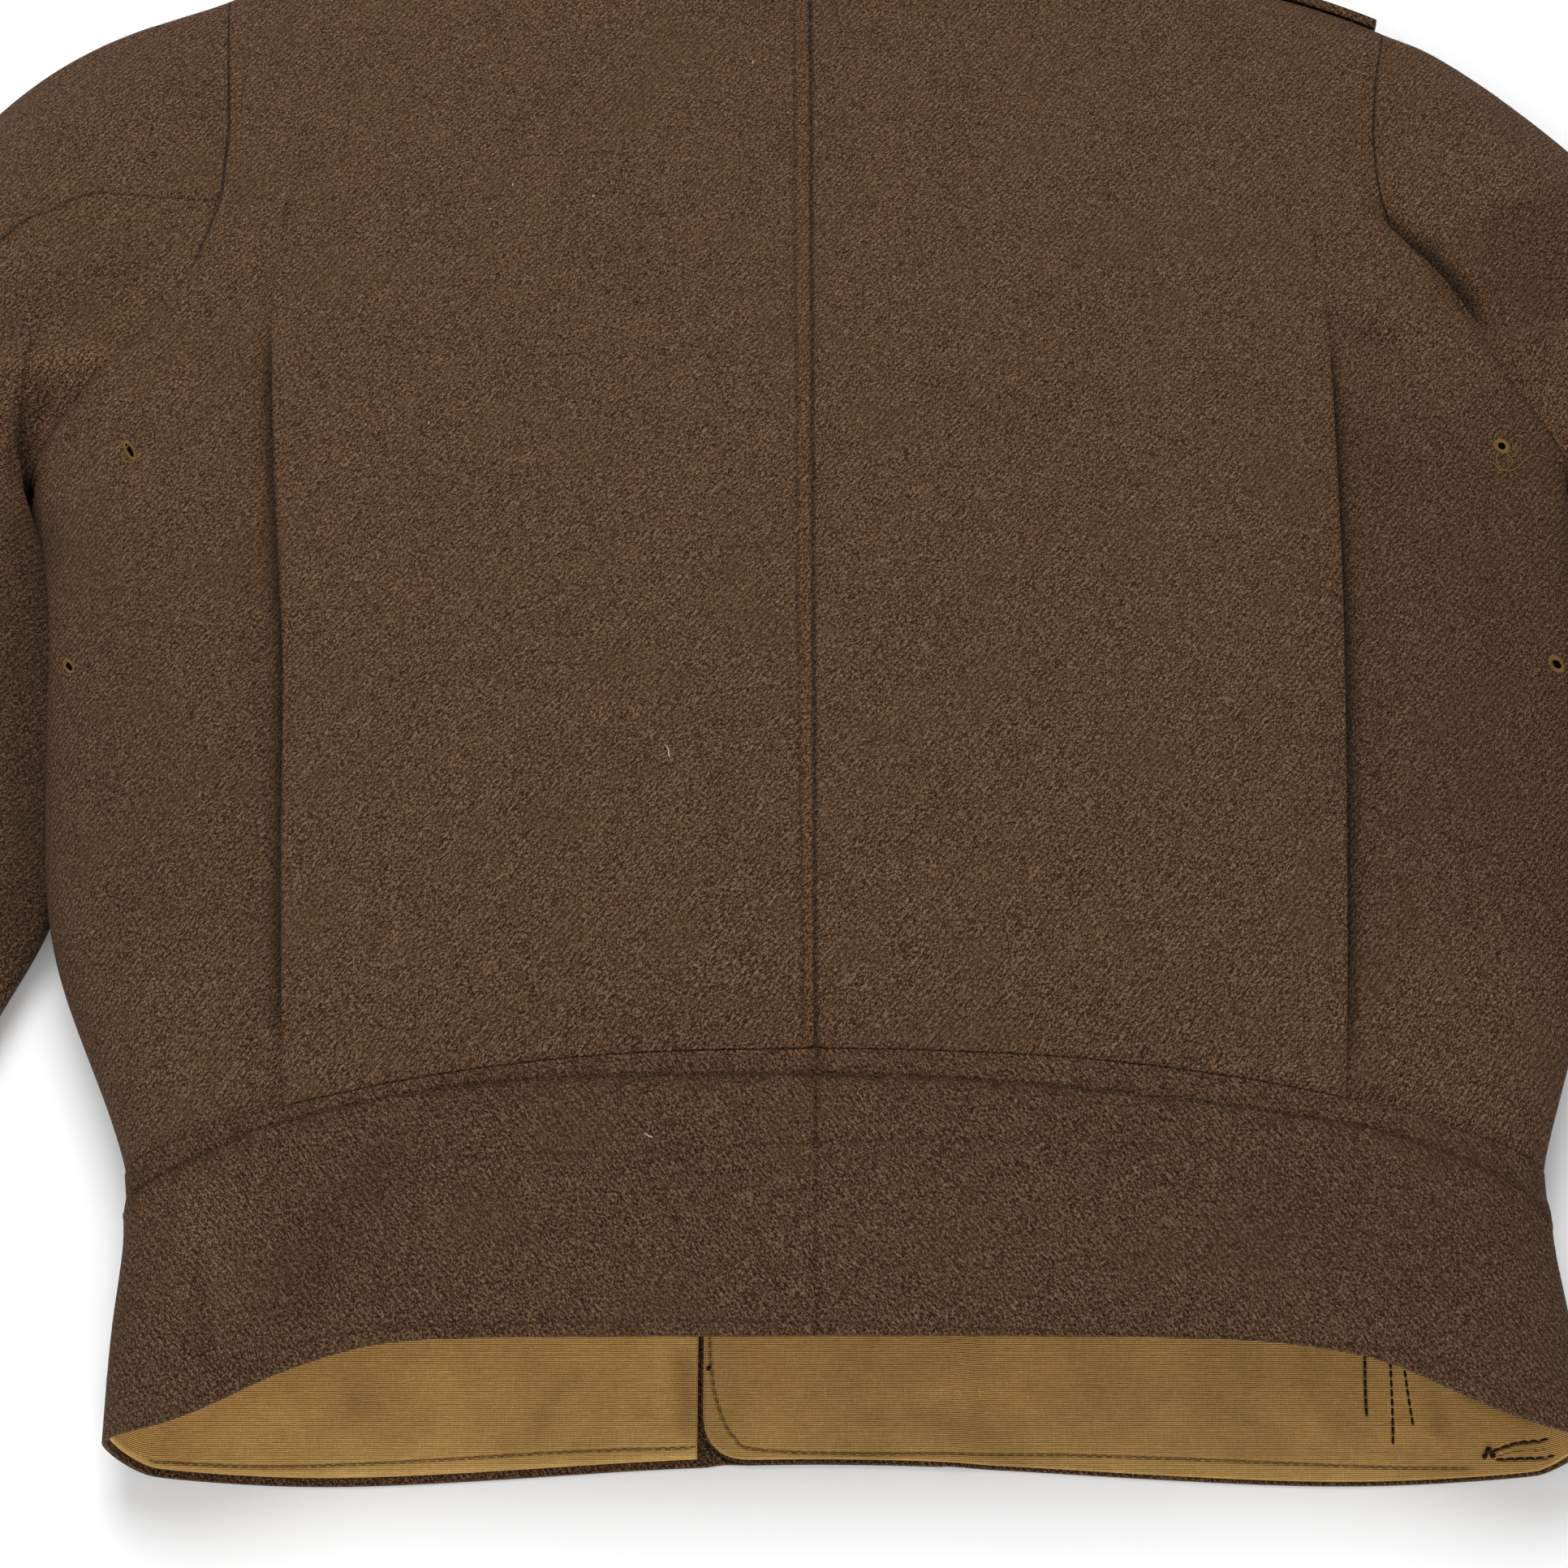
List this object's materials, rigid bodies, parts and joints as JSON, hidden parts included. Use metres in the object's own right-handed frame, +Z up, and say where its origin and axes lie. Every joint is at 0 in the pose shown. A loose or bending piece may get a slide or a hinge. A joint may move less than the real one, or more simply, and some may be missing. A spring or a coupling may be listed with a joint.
{
  "type": "battle dress jacket",
  "caption": "Short waisted wool jacket with deep waistband, knife-pleated back, two-piece sleeves, collar and shoulder straps, lying face down.",
  "frame": {"origin": "middle of the footprint on the surface that the jacket lies on", "axes": "+X to the jacket's right side as worn, +Y from the hem to the collar, +Z up from the surface, through the jacket's back"},
  "size_m": [0.9206, 0.6523, 0.0678],
  "materials": {
    "wool_khaki": "napped wool twill, matte",
    "drill_tan": "plain cotton, matte"
  },
  "bodies": {
    "root": {"back_left": "wool_khaki", "back_right": "wool_khaki", "front_left": "wool_khaki", "front_right": "wool_khaki", "waistband_left": "wool_khaki", "waistband_right": "wool_khaki", "waistband_lining_left": "drill_tan", "waistband_lining_right": "drill_tan", "upper_sleeve_left": "wool_khaki", "upper_sleeve_right": "wool_khaki", "under_sleeve_left": "wool_khaki", "under_sleeve_right": "wool_khaki", "cuff_left": "wool_khaki", "cuff_right": "wool_khaki", "shoulder_strap_left": "wool_khaki", "shoulder_strap_right": "wool_khaki", "collar": "wool_khaki"}
  },
  "joints": []
}
